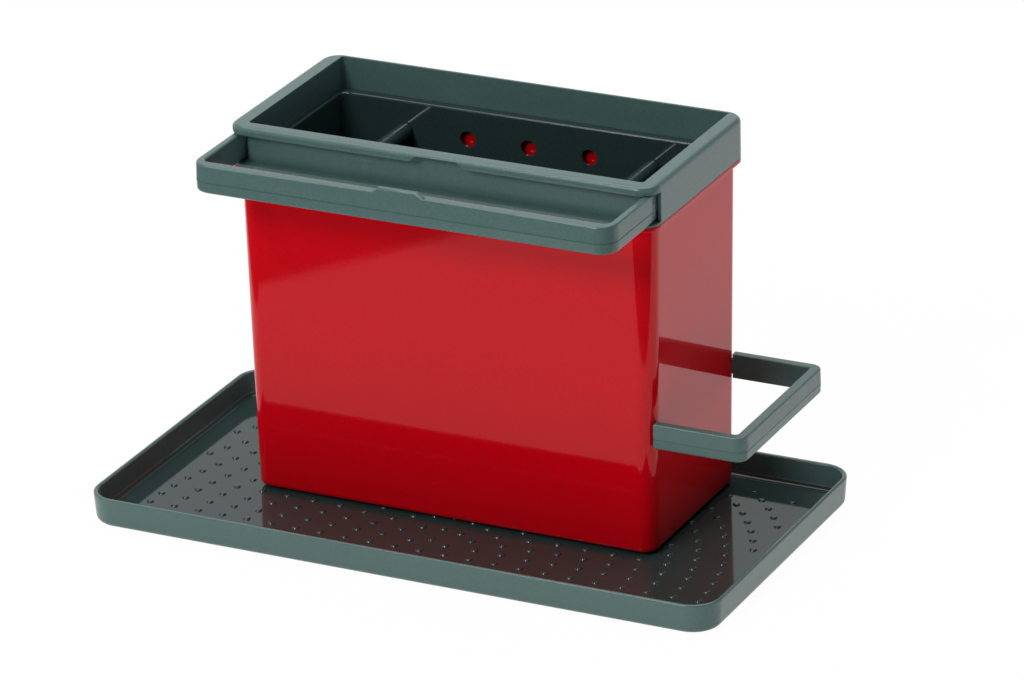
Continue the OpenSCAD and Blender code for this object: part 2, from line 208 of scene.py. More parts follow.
class CaddyBasketSizes(bpy.types.PropertyGroup):
    """Sizes of the basket and its dividers"""

    rim_side: metres("Rim at the ends", "Width of the rim at the two ends", 0.002)
    rim_front: metres("Rim front and back", "Width of the rim at the front and back", 0.0056)
    rim: metres("Rim", "Thickness of the rim", 0.0026)
    wall: metres("Wall", "Thickness of the wall", 0.0018)
    floor: metres("Floor", "Thickness of the floor", 0.002)
    corner: metres("Corner radius", "Corner radius inside the basket", 0.003)
    lower_edge: metres("Lower edge", "Radius of the lower edge", 0.0015)
    rim_outer_edge: metres("Rim outer edge", "Radius on the outside of the rim", 0.0012)
    rim_inner_edge: metres("Rim inner edge", "Radius on the inside of the rim", 0.001)
    gap: metres("Gap", "Clearance between basket and collar at the front and back", 0.0005)
    end_gap: metres("End gap", "Clearance between basket and collar at the two ends", 0.00015)
    fine_edge: metres("Fine edge", "Radius of the ribs, holes and rim's underside", 0.00015)
    vent: metres("Vent", "Radius of the vent holes", 0.0035)
    vent_step: metres("Vent step", "Step between the vent holes", 0.028)
    vent_drop: metres("Vent drop", "Height from the rim down to the vents", 0.013)
    drain: metres("Drain", "Radius of the drain holes", 0.003)
    drain_step: metres("Drain step", "Step between the drain holes", 0.018)
    guide: metres("Guide", "Thickness of the ribs that guide a divider", 0.0016)
    guide_out: metres("Guide depth", "How far the ribs stand out of the wall", 0.002)
    guide_high: metres("Guide height", "Height of the ribs above the floor", 0.04)
    divider: metres("Divider", "Thickness of a divider's plate", 0.0024)
    divider_room: metres("Divider room", "Clearance of a divider between its ribs", 0.00035)
    divider_edge: metres("Divider edge", "Radius of a divider's edges", 0.0004)


class CaddyFinish(bpy.types.PropertyGroup):
    """Colours and gloss of the two plastics"""

    red: colour_property("Red", "Colour of the bin", (0.52, 0.0006, 0.006))
    red_roughness: fraction("Red roughness", "Roughness of the bin", 0.05)
    red_metallic: fraction("Red metallic", "Share of tinted reflection in the bin", 0.06)
    red_index: amount("Red index", "Refractive index of the bin's gloss", 1.33)
    grey: colour_property("Grey", "Colour of the satin faces of the other pieces", (0.066, 0.126, 0.118))
    # Deeper grey for the polished faces; on the tray's floor, which is the tray's own plastic, it is
    # painted shade
    deep_grey_and_shade: colour_property("Deep grey", "Colour of polished faces", (0.02, 0.039, 0.037))
    grey_index: amount("Grey index", "Refractive index of the grey gloss", 1.48)
    satin: fraction("Satin roughness", "Roughness of the grey outer faces", 0.24)
    polish: fraction("Polish roughness", "Roughness of the basket and the tray's floor", 0.07)
    red_mottle: fraction("Red mottle", "How much lighter and darker the red is in places", 0.25)
    sparkle: fraction("Sparkle", "Share of that in the fine sparkle", 0.8)
    grey_mottle: fraction("Grey mottle", "How much lighter and darker the grey is in places", 0.28)
    grain: fraction("Grain", "Share of that in the fine grain", 0.7)


class CaddyStage(bpy.types.PropertyGroup):
    """Camera and light"""

    azimuth: degrees("Azimuth", "How far the camera stands round to the right", 26.31)
    elevation: degrees("Elevation", "Height of the camera above the horizon", 22.87)
    roll: degrees("Roll", "Turn of the camera about its own axis", -1.45)
    distance: metres("Distance", "From the camera to its target", 2.5646)
    target: FloatVectorProperty(
        name="Target",
        description="Point that the camera looks at",
        default=(0.0078, 0.027, 0.0675),
        subtype="XYZ",
    )
    lens: amount("Lens", "Focal length of the camera in millimetres", 217.29)
    floor_size: metres("Floor size", "Length of the floor's sides", 12)
    floor_drop: metres("Floor drop", "How far the floor lies under the tray", 0.0004)
    floor_colour: colour_property("Floor colour", "Colour of the floor where light falls", (0.9, 0.9, 0.9))
    floor_glow: fraction("Floor glow", "Share of plain white in what is seen of the floor", 0.97)
    horizon: amount("Horizon", "Strength of the surroundings near the horizon", 1)
    zenith: amount("Zenith", "Strength of the surroundings overhead", 0.08)
    dim_from: fraction("Dim from", "Rise at which the surroundings begin to dim", 0.2)
    dim_to: fraction("Dim to", "Rise at which they are as dim as overhead", 0.8)
    front_fall: amount("Front fall", "How much sooner the surroundings dim in front", 2.5)
    front_turn: degrees("Front turn", "How far round to the right they dim soonest", 60)
    front_wide: amount("Front width", "How far past the sides they dim", 0.35)
    sheet_turn: degrees("Sheet turn", "How far round the white sheet's left edge lies", -54.3)
    sheet_left: metres("Sheet left", "From the middle to the sheet's left edge", 0.2714)
    sheet_front: metres("Sheet front", "From the middle to the sheet's front edge", 0.25)
    sheet_blur: metres("Sheet blur", "Width over which the sheet ends", 0.01)
    sheet_fall: fraction("Sheet fall", "How much dimmer reflections are past those edges", 0.9)


def direction(turn, rise):
    """Unit vector that is turned to the right of the front, and raised."""
    return Vector((math.sin(turn) * math.cos(rise), -math.cos(turn) * math.cos(rise), math.sin(rise)))


class Outline:
    """Rounded rectangle seen from above, at a height."""

    def __init__(self, low, high, radius, z):
        self.low = Vector(low[:2])
        self.high = Vector(high[:2])
        self.radius = radius
        self.z = z

    def grown(self, width, z=None):
        """The outline that runs that far outside this one."""
        step = Vector((width, width))
        return Outline(self.low - step, self.high + step, self.radius + width, self.z if z is None else z)

    def at(self, z):
        """The same outline at another height."""
        return Outline(self.low, self.high, self.radius, z)

    def centre(self):
        """The outline's middle."""
        return ((self.low + self.high) / 2).to_3d() + Vector((0, 0, self.z))

    def gap(self, point):
        """How far outside the outline a point lies, seen from above; less than 0 inside."""
        half = (self.high - self.low) / 2
        past = [abs(a - b) - h + self.radius for a, b, h in zip(point, self.centre(), half)]
        return Vector([max(p, 0) for p in past]).length + min(max(past), 0) - self.radius

    def holds(self, point):
        """True for a point on the outline."""
        return abs(point.z - self.z) < NEAR and abs(self.gap(point)) < NEAR


def new_object(name):
    """An empty mesh object at the origin, in edit mode."""
    bpy.ops.object.select_all(action="DESELECT")
    bpy.ops.object.add(type="MESH", location=(0, 0, 0))
    piece = bpy.context.object
    piece.name = name
    piece.data.name = name
    bpy.ops.object.mode_set(mode="EDIT")
    return piece


def leave_edit():
    """Goes back to object mode."""
    bpy.ops.object.mode_set(mode="OBJECT")


def added(name, add, **settings):
    """An object made by one of the add operators, with its place and scale applied."""
    bpy.ops.object.select_all(action="DESELECT")
    add(**settings)
    piece = bpy.context.object
    piece.name = name
    bpy.ops.object.transform_apply(location=True, rotation=True, scale=True)
    return piece


def make_active(piece):
    """Leaves edit mode and selects one object."""
    if bpy.context.mode != "OBJECT":
        leave_edit()
    bpy.ops.object.select_all(action="DESELECT")
    piece.select_set(True)
    bpy.context.view_layer.objects.active = piece


def select_parts(kind, test):
    """Selects the vertices, edges or faces in edit mode that pass a test."""
    bpy.ops.mesh.select_mode(type=kind)
    bpy.ops.mesh.select_all(action="DESELECT")
    mesh = bmesh.from_edit_mesh(bpy.context.edit_object.data)
    parts = {"VERT": mesh.verts, "EDGE": mesh.edges, "FACE": mesh.faces}[kind]
    found = 0
    for part in parts:
        if test(part):
            part.select_set(True)
            found += 1
    mesh.select_flush_mode()
    bmesh.update_edit_mesh(bpy.context.edit_object.data)
    if not found:
        raise RuntimeError("nothing was found to select in " + bpy.context.edit_object.name)


def select_outlines(*outlines):
    """Selects the edges that lie along any of the outlines."""
    select_parts("EDGE", lambda edge: any(all(o.holds(v.co) for v in edge.verts) for o in outlines))


def add_outline(outline):
    """Adds a loop of edges along the outline to the mesh in edit mode."""
    bpy.ops.mesh.select_mode(type="VERT")
    bpy.ops.mesh.select_all(action="DESELECT")
    size = outline.high - outline.low
    bpy.ops.mesh.primitive_plane_add(size=1, location=outline.centre())
    bpy.ops.transform.resize(value=(size.x, size.y, 1), center_override=outline.centre())
    bpy.ops.mesh.bevel(affect="VERTICES", offset=outline.radius, segments=CORNER_STEPS, profile=0.5)
    bpy.ops.mesh.delete(type="ONLY_FACE")


def loft(name, outlines, ring=False):
    """Bridges outlines one after the other; a ring closes on its first outline, anything else is capped.
    The outlines are bridged well apart and then moved to their heights, because a bridge needs a gap."""
    piece = new_object(name)
    spread = [outline.at(APART * (i + 1)) for i, outline in enumerate(outlines)]
    for outline in spread:
        add_outline(outline)
    ends = spread[1:] + spread[:1] if ring else spread[1:]
    for first, second in zip(spread, ends):
        select_outlines(first, second)
        bpy.ops.mesh.bridge_edge_loops()
    if not ring:
        for outline in (spread[0], spread[-1]):
            select_outlines(outline)
            bpy.ops.mesh.edge_face_add()
    for outline, away in zip(outlines, spread):
        select_outlines(away)
        bpy.ops.transform.translate(value=(0, 0, outline.z - away.z))
    bpy.ops.mesh.select_all(action="SELECT")
    bpy.ops.mesh.normals_make_consistent(inside=False)
    return piece


def round_edges(radius, steps, *outlines):
    """Rounds the edges along the outlines."""
    select_outlines(*outlines)
    bpy.ops.mesh.bevel(affect="EDGES", offset=radius, segments=steps, profile=0.5)


def cut_off(point, normal):
    """Cuts the mesh in edit mode at a plane, removes what lies past it and closes the cut."""
    bpy.ops.mesh.select_mode(type="VERT")
    bpy.ops.mesh.select_all(action="SELECT")
    bpy.ops.mesh.bisect(plane_co=point, plane_no=normal, use_fill=True, clear_outer=True)


def block(name, low, high, top_share=1.0):
    """A box between two corners, whose top may be shorter along X."""
    low, high = Vector(low), Vector(high)
    middle = (low + high) / 2
    piece = added(name, bpy.ops.mesh.primitive_cube_add, size=1, location=middle, scale=high - low)
    if top_share != 1:
        bpy.ops.object.mode_set(mode="EDIT")
        select_parts("FACE", lambda face: face.normal.z > UPWARD)
        bpy.ops.transform.resize(value=(top_share, 1, 1), center_override=middle)
        leave_edit()
    return piece


def rod(name, middle, radius, length, axis, sides=ROD_SIDES):
    """A cylinder along X, Y or Z about its middle."""
    turn = {"X": (0, math.pi / 2, 0), "Y": (math.pi / 2, 0, 0), "Z": (0, 0, 0)}[axis]
    shape = {"vertices": sides, "radius": radius, "depth": length}
    return added(name, bpy.ops.mesh.primitive_cylinder_add, location=middle, rotation=turn, **shape)


def joined(pieces):
    """Several objects as one."""
    make_active(pieces[0])
    for piece in pieces:
        piece.select_set(True)
    bpy.ops.object.join()
    return bpy.context.object


def combine(piece, tool, operation):
    """Cuts the tool out of a piece, or adds it, and removes the tool."""
    make_active(piece)
    bpy.ops.object.modifier_add(type="BOOLEAN")
    modifier = piece.modifiers[-1]
    modifier.operation = operation
    modifier.solver = "EXACT"
    modifier.object = tool
    bpy.ops.object.modifier_apply(modifier=modifier.name)
    mesh = tool.data
    bpy.data.objects.remove(tool)
    bpy.data.meshes.remove(mesh)


def soften(piece, radius, steps):
    """Rounds every sharp outer edge of a piece."""
    make_active(piece)
    bpy.ops.object.mode_set(mode="EDIT")
    bpy.ops.mesh.select_all(action="SELECT")
    bpy.ops.mesh.remove_doubles(threshold=NEAR / 2)
    bpy.ops.mesh.dissolve_limited(angle_limit=FLAT_ANGLE)
    select_parts("EDGE", lambda edge: edge.is_convex and edge.calc_face_angle(0) > SHARP_ANGLE)
    bpy.ops.mesh.bevel(
        affect="EDGES", offset=radius, segments=steps, clamp_overlap=False, miter_outer="ARC"
    )
    leave_edit()


def dress(piece, finish, test=None):
    """Gives a finish to a piece, or to those of its faces that pass a test."""
    make_active(piece)
    if test is None:
        piece.data.materials.clear()
    piece.data.materials.append(plastic(finish))
    if test:
        bpy.ops.object.mode_set(mode="EDIT")
        select_parts("FACE", test)
        piece.active_material_index = len(piece.data.materials) - 1
        bpy.ops.object.material_slot_assign()
        leave_edit()


def settle(piece, node, body):
    """Smooths a finished piece and lets it ride on its body in place of its node."""
    make_active(piece)
    bpy.ops.object.shade_smooth_by_angle(angle=CREASE_ANGLE)
    bpy.ops.object.modifier_add(type="WEIGHTED_NORMAL")
    modifier = piece.modifiers[-1]
    modifier.keep_sharp = True
    modifier.weight = 100
    bpy.ops.object.modifier_apply(modifier=modifier.name)
    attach(piece, body)
    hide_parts(node)


class Value:
    """A shader socket that can be used in sums; each sum adds a Math node."""

    def __init__(self, shader, output):
        self.shader = shader
        self.output = output

    def _math(self, operation, first, second):
        return self.shader.node("Math", {"operation": operation}, {0: first, 1: second})

    def __add__(self, other):
        return self._math("ADD", self, other)

    def __radd__(self, other):
        return self._math("ADD", other, self)

    def __sub__(self, other):
        return self._math("SUBTRACT", self, other)

    def __rsub__(self, other):
        return self._math("SUBTRACT", other, self)

    def __mul__(self, other):
        return self._math("MULTIPLY", self, other)

    def __rmul__(self, other):
        return self._math("MULTIPLY", other, self)


class Shader:
    """A node tree that is built up one node at a time."""

    def __init__(self, tree):
        self.tree = tree
        tree.nodes.clear()

    def node(self, kind, settings=None, inputs=None, output=0):
        """Adds a node, sets it and its sockets, and gives one of its outputs."""
        made = self.tree.nodes.new("ShaderNode" + kind)
        for name, value in (settings or {}).items():
            setattr(made, name, value)
        for name, value in (inputs or {}).items():
            socket = made.inputs[name]
            if isinstance(value, Value):
                self.tree.links.new(value.output, socket)
            else:
                socket.default_value = value
        return Value(self, made.outputs[output]) if len(made.outputs) else None

    def noise(self, scale, detail):
        """Noise over the piece's own coordinates, from 0 to 1."""
        place = self.node("TexCoord", output="Object")
        inputs = {"Vector": place, "Scale": scale, "Detail": detail}
        return self.node("TexNoise", inputs=inputs, output="Fac")

    def mottled(self, colour, spread, cloud, fine, fine_share):
        """A colour that is lighter and darker in places, partly in clouds and partly in a finer noise."""
        share = cloud * (1 - fine_share) + fine * fine_share
        dark, light = ((*shaded(colour, 1 + sign * spread), 1) for sign in (-1, 1))
        return self.node("Mix", {"data_type": "RGBA"}, {0: share, 6: dark, 7: light}, output=2)

    def towards(self, coordinates, turn):
        """How far a place or direction lies out to one side, turned to the right of the front."""
        place = self.node("TexCoord", output=coordinates)
        right = self.node("SeparateXYZ", inputs={0: place}, output="X")
        depth = self.node("SeparateXYZ", inputs={0: place}, output="Y")
        return right * math.sin(turn) - depth * math.cos(turn)

    def sheet(self, stage):
        """1, or dimmer for a reflection that looks past the left or the front edge of the white sheet."""
        left = self.towards("Object", stage.sheet_turn) - stage.sheet_left
        front = self.towards("Object", stage.sheet_turn + math.pi / 2) - stage.sheet_front
        out = self.node("Math", {"operation": "MAXIMUM"}, {0: left, 1: front})
        past = self.node("MapRange", inputs={"Value": out, "From Min": 0, "From Max": stage.sheet_blur})
        glossy = self.node("LightPath", output="Is Glossy Ray")
        return 1 - stage.sheet_fall * past * glossy

    def light_path(self):
        """1 for what the camera, a reflection or a clear piece sees, else 0."""
        kinds = ("Camera", "Glossy", "Transmission")
        camera, glossy, clear = (self.node("LightPath", output="Is " + kind + " Ray") for kind in kinds)
        return self.node("Clamp", inputs={0: camera + glossy + clear})


def shaded(colour, share):
    """A colour made lighter or darker."""
    return tuple(min(c * share, 1) for c in colour)


def new_material(name):
    """A material, and the shader that fills its empty node tree."""
    material = bpy.data.materials.new(name)
    material.use_nodes = True
    return material, Shader(material.node_tree)


def gloss_red(name, finish):
    """High-gloss red with a little tinted sparkle and a trace of orange peel."""
    material, shader = new_material(name)
    cloud = shader.noise(scale=9, detail=2)
    sparkle = shader.noise(scale=1700, detail=1)
    peel = shader.noise(scale=420, detail=2)
    uneven = 0.02
    colour = shader.mottled(finish.red, finish.red_mottle, cloud, sparkle, finish.sparkle)
    bump = shader.node("Bump", inputs={"Strength": 0.02, "Distance": 0.0004, "Height": peel})
    surface = shader.node(
        "BsdfPrincipled",
        inputs={
            "Base Color": colour,
            "Roughness": finish.red_roughness - uneven + 2 * uneven * sparkle,
            "Metallic": finish.red_metallic,
            "IOR": finish.red_index,
            "Normal": bump,
        },
    )
    shader.node("OutputMaterial", inputs={"Surface": surface})
    material.diffuse_color = (*finish.red, 1)
    return material


def moulded_grey(name, finish, tint, roughness, grain_depth):
    """Grey with a fine moulded grain of a given depth."""
    material, shader = new_material(name)
    cloud = shader.noise(scale=14, detail=2)
    grain = shader.noise(scale=1100, detail=3)
    uneven = 0.1
    colour = shader.mottled(tint, finish.grey_mottle, cloud, grain, finish.grain)
    bump = shader.node("Bump", inputs={"Strength": 0.1, "Distance": grain_depth, "Height": grain})
    surface = shader.node(
        "BsdfPrincipled",
        inputs={
            "Base Color": colour,
            "Roughness": roughness * (1 - uneven) + roughness * 2 * uneven * cloud,
            "IOR": finish.grey_index,
            "Normal": bump,
        },
    )
    shader.node("OutputMaterial", inputs={"Surface": surface})
    material.diffuse_color = (*tint, 1)
    return material


def satin_grey(name, finish):
    """Grey with a satin grain, on outer faces."""
    return moulded_grey(name, finish, finish.grey, finish.satin, grain_depth=0.0001)


def polished_grey_and_shade(name, finish):
    """Polished grey in a deeper colour, on the basket, the dividers and the tray's floor; on the tray's
    floor the deeper colour is painted shade.
    """
    return moulded_grey(name, finish, finish.deep_grey_and_shade, finish.polish, grain_depth=0.00001)


PLASTICS = {maker.__name__: maker for maker in (gloss_red, satin_grey, polished_grey_and_shade)}


def plastic(name):
    """One of the plastics, made the first time that a piece asks for it."""
    made = bpy.data.materials.get(name)
    return made or PLASTICS[name](name, bpy.context.scene.caddy_finish)


class CADDY_OT_stage(bpy.types.Operator):
    """Set up the floor, the soft light and the camera"""

    bl_idname = "caddy.stage"
    bl_label = "Stage"

    def floor(self, stage):
        """White floor that keeps a trace of the caddy's shadow; reflections show it dim past the sheet."""
        place = (0, 0, -stage.floor_drop)
        floor = added("floor", bpy.ops.mesh.primitive_plane_add, size=stage.floor_size, location=place)
        material, shader = new_material("floor_white")
        lit = shader.node("BsdfDiffuse", inputs={"Color": (*stage.floor_colour, 1)})
        white = shader.node("Emission", inputs={"Strength": shader.sheet(stage)})
        seen = shader.light_path() * stage.floor_glow
        surface = shader.node("MixShader", inputs={0: seen, 1: lit, 2: white})
        shader.node("OutputMaterial", inputs={"Surface": surface})
        floor.data.materials.append(material)

    def lamp(self, name, turn, rise, size, power):
        """A square soft box that faces the caddy, turned to the right and raised by degrees."""
        away = direction(math.radians(turn), math.radians(rise))
        bpy.ops.object.select_all(action="DESELECT")
        bpy.ops.object.light_add(type="AREA", location=LAMP_AIM + LAMP_DISTANCE * away)
        lamp = bpy.context.object
        lamp.name = name
        lamp.data.name = name
        lamp.data.size = size
        lamp.data.energy = power
        lamp.rotation_euler = (-away).to_track_quat("-Z", "Y").to_euler()

    def world(self, stage):
        """Surroundings that are white near the horizon and dim overhead."""
        world = bpy.context.scene.world or bpy.data.worlds.new("studio")
        bpy.context.scene.world = world
        world.use_nodes = True
        shader = Shader(world.node_tree)
        outward = shader.node("TexCoord", output="Generated")
        rise = shader.node("SeparateXYZ", inputs={0: outward}, output="Z")
        ahead = shader.towards("Generated", stage.front_turn)
        front = shader.node("Clamp", inputs={0: ahead + stage.front_wide})
        power = shader.node(
            "MapRange",
            {"interpolation_type": "SMOOTHSTEP"},
            {
                "Value": rise * (1 + stage.front_fall * front),
                "From Min": stage.dim_from,
                "From Max": stage.dim_to,
                "To Min": stage.horizon,
                "To Max": stage.zenith,
            },
        )
        light = shader.node("Background", inputs={"Color": (1, 1, 1, 1), "Strength": power})
        shader.node("OutputWorld", inputs={"Surface": light})

    def camera(self, stage):
        """Camera at the photographed angle."""
        back = direction(stage.azimuth, stage.elevation)
        right = Vector((0, 0, 1)).cross(back).normalized()
        up = back.cross(right)
        level = Matrix((right, up, back)).transposed()
        bpy.ops.object.camera_add()
        camera = bpy.context.object
        camera.name = "camera"
        place = Vector(stage.target) + back * stage.distance
        turned = level @ Matrix.Rotation(stage.roll, 3, "Z")
        camera.matrix_world = Matrix.Translation(place) @ turned.to_4x4()
        camera.data.lens = stage.lens
        camera.data.clip_end = 50
        bpy.context.scene.camera = camera

    def execute(self, context):
        stage = context.scene.caddy_stage
        context.scene.view_settings.view_transform = "Standard"
        self.floor(stage)
        self.world(stage)
        self.lamp("key", turn=-12, rise=36, size=0.45, power=16)
        self.lamp("top", turn=-150, rise=76, size=2, power=38)
        self.lamp("edge", turn=-32, rise=50, size=0.3, power=4)
        self.camera(stage)
        return {"FINISHED"}


class CADDY_OT_drip_tray(bpy.types.Operator):
    """Model the drip tray with its fan of nubs"""

    bl_idname = "caddy.drip_tray"
    bl_label = "Drip tray"

    def nub(self, sizes):
        """One low dome, sunk a little into the floor."""
        nub = added(
            "nub",
            bpy.ops.mesh.primitive_cone_add,
            vertices=NUB_SIDES,
            radius1=sizes.nub,
            radius2=sizes.nub_top,
            depth=sizes.nub_height + sizes.nub_root,
            location=(0, 0, (sizes.nub_height - sizes.nub_root) / 2),
        )
        bpy.ops.object.mode_set(mode="EDIT")
        select_parts("FACE", lambda face: face.normal.z > UPWARD)
        rounding = sizes.nub_height * sizes.nub_round
        bpy.ops.mesh.bevel(affect="EDGES", offset=rounding, segments=2, profile=0.5)
        leave_edit()
        return nub

    def places(self, sizes, low, high):
        """Where the nubs stand: on arcs about the middle of the front row."""
        end = high.x - sizes.margin
        back = high.y - sizes.margin
        front = low.y + sizes.front_margin
        reach = math.hypot(end, back - front)
        yield 0.0, front
        for ring in range(1, math.ceil(reach / sizes.ring_step) + 1):
            radius = ring * sizes.ring_step
            steps = round(math.pi * radius / sizes.arc_step)
            for i in range(steps + 1):
                x = radius * math.cos(math.pi * i / steps)
                y = front + radius * math.sin(math.pi * i / steps)
                if abs(x) <= end + NEAR and y <= back:
                    yield x, y

    def is_floor(self, face, inner_foot):
        """True for a face of the floor, its fillet or a nub."""
        middle = face.calc_center_median()
        return inner_foot.z - NEAR < middle.z and inner_foot.gap(middle) < -NEAR

    def execute(self, context):
        sizes = context.scene.caddy_tray
        low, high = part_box("drip_tray")
        rim = Outline(low, high, sizes.corner, high.z)
        inner_rim = rim.grown(-sizes.wall)
        foot = rim.grown(-sizes.lean, low.z)
        inner_foot = inner_rim.grown(-sizes.lean, low.z + sizes.floor)
        piece = loft("drip_tray_moulding", [foot, rim, inner_rim, inner_foot])
        round_edges(sizes.lower_edge, 5, foot)
        round_edges(sizes.inner_edge, 4, inner_foot)
        round_edges(sizes.rim_edge, 4, rim, inner_rim)
        leave_edit()
        nub = self.nub(sizes)
        nubs = []
        for x, y in self.places(sizes, low, high):
            make_active(nub)
            step = (x, y, low.z + sizes.floor)
            bpy.ops.object.duplicate_move(TRANSFORM_OT_translate={"value": step})
            bpy.ops.object.transform_apply(location=True, rotation=False, scale=False)
            nubs.append(bpy.context.object)
        bpy.data.objects.remove(nub)
        combine(piece, joined(nubs), "UNION")
        dress(piece, "satin_grey")
        # The floor, its fillet and the nubs get the deeper polished grey, which paints shade onto the
        # tray's own plastic
        dress(piece, "polished_grey_and_shade", lambda face: self.is_floor(face, inner_foot))
        settle(piece, "drip_tray", "tray")
        return {"FINISHED"}


class CADDY_OT_bin(bpy.types.Operator):
    """Model the red bin with its rim and the side rail's slots"""

    bl_idname = "caddy.bin"
    bl_label = "Bin"

    def execute(self, context):
        sizes = context.scene.caddy_bin
        rails = context.scene.caddy_rails
        low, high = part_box("bin")
        rim_top = Outline(low, high, sizes.rim_corner, high.z)
        rim_under = rim_top.at(high.z - sizes.rim)
        mouth = Outline(low, high, sizes.corner + sizes.rim_out, high.z).grown(-sizes.rim_out)
        slope = sizes.lean / (high.z - low.z)
        foot = mouth.grown(-sizes.lean, low.z)
        wall_top = mouth.grown(-slope * sizes.rim, high.z - sizes.rim)
        inner_top = mouth.grown(-sizes.wall)
        inner_foot = foot.grown(slope * sizes.floor - sizes.wall, low.z + sizes.floor)
        piece = loft("bin_moulding", [foot, wall_top, rim_under, rim_top, inner_top, inner_foot])
        round_edges(sizes.lower_edge, 6, foot)
        round_edges(sizes.inner_edge, 3, inner_foot)
        round_edges(sizes.rim_edge, 2, rim_under, rim_top, inner_top)
        leave_edit()
        rail_low, rail_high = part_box("side_rail")
        inset = rails.side_arm - rails.tongue / 2
        for y in (rail_low.y + inset, rail_high.y - inset):
            middle = Vector((mouth.high.x, y, (rail_low.z + rail_high.z) / 2))
            half = Vector((2 * sizes.corner, rails.tongue, rails.tongue_high)) / 2
            half += Vector((0, sizes.slot_room, sizes.slot_room))
            combine(piece, block("slot", middle - half, middle + half), "DIFFERENCE")
        dress(piece, "gloss_red")
        settle(piece, "bin", "bin")
        return {"FINISHED"}


class CADDY_OT_collar(bpy.types.Operator):
    """Model the collar with its channels for the front rail"""

    bl_idname = "caddy.collar"
    bl_label = "Collar"

    def execute(self, context):
        sizes = context.scene.caddy_collar
        rails = context.scene.caddy_rails
        bin_sizes = context.scene.caddy_bin
        basket = context.scene.caddy_basket
        low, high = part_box("collar")
        base_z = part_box("bin")[1].z
        ledge_z = base_z + sizes.base
        lip_z = high.z - sizes.lip
        arm_x = high.x - sizes.skirt - sizes.room - rails.front_arm
        wall_x = arm_x - sizes.room
        wall_y = low.y - rails.front_proud + rails.front_bar + sizes.room
        outer = Outline(low, high, sizes.corner, base_z)
        inner_x = wall_x - sizes.inner_wall
        opening_low = (-inner_x, wall_y + sizes.inner_wall)
        opening_high = (inner_x, high.y - sizes.back_wall)
        opening = Outline(opening_low, opening_high, sizes.opening_corner, high.z)
        basket_low, basket_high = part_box("basket")
        step = Vector((basket.rim_side - basket.end_gap, basket.rim_front - basket.gap))
        step -= Vector((basket.wall, basket.wall))
        ledge = Outline(basket_low.xy + step, basket_high.xy - step, sizes.ledge_corner, ledge_z)
        inset = bin_sizes.rim_out + bin_sizes.wall + sizes.spigot_room
        spigot = Outline(low, high, bin_sizes.corner + bin_sizes.rim_out, base_z).grown(-inset)
        spigot_in = spigot.grown(-sizes.spigot_wall)
        spigot_in.high.y = max(spigot_in.high.y, ledge.high.y + STEP)
        piece = loft(
            "collar_moulding",
            [
                outer,
                outer.at(high.z),
                opening,
                opening.at(ledge_z),
                ledge,
                ledge.at(base_z),
                spigot_in,
                spigot_in.at(base_z - sizes.spigot),
                spigot.at(base_z - sizes.spigot),
                spigot,
            ],
            ring=True,
        )
        round_edges(sizes.top_edge, 5, outer.at(high.z))
        leave_edit()
        skirt_y = low.y + sizes.corner
        channel_y = high.y - sizes.corner
        room_out = Outline((low.x - PAST, low.y - PAST), (high.x + PAST, high.y), PAST / 2, ledge_z)
        room_in = Outline((-wall_x, wall_y), (wall_x, high.y - 2 * PAST), rails.front_inner, ledge_z)
        room = loft("rail_room", [room_out, room_out.at(lip_z), room_in.at(lip_z), room_in], ring=True)
        cut_off((0, skirt_y, 0), (0, 1, 0))
        leave_edit()
        combine(piece, room, "DIFFERENCE")
        for side in (-1, 1):
            near, far = sorted((side * wall_x, side * (high.x - sizes.skirt)))
            channel = block("channel", (near, skirt_y - PAST, ledge_z), (far, channel_y, lip_z))
            combine(piece, channel, "DIFFERENCE")
        rail_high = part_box("front_rail")[1].z
        notch_half = rails.tab / 2 + 2 * sizes.room
        notch_top = rails.tab_top / 2 + 2 * sizes.room
        notch = block(
            "notch",
            (-notch_half, low.y - PAST, lip_z - NEAR),
            (notch_half, wall_y, rail_high + sizes.room),
            notch_top / notch_half,
        )
        combine(piece, notch, "DIFFERENCE")
        soften(piece, sizes.fine_edge, 2)
        dress(piece, "satin_grey")
        settle(piece, "collar", "collar")
        return {"FINISHED"}


def rail_ring(name, outside, inside, heights, sizes):
    """A closed ring of rail whose outer faces fall back above and below the bead on the parting line."""
    bottom, top = heights
    parting = bottom + sizes.parting * (top - bottom)
    return loft(
        name,
        [
            outside.grown(-sizes.draft, bottom),
            outside.at(parting - sizes.flash),
            outside.grown(sizes.flash_out, parting),
            outside.at(parting + sizes.flash),
            outside.grown(-sizes.draft, top),
            inside.at(top),
            inside.at(bottom),
        ],
        ring=True,
    )


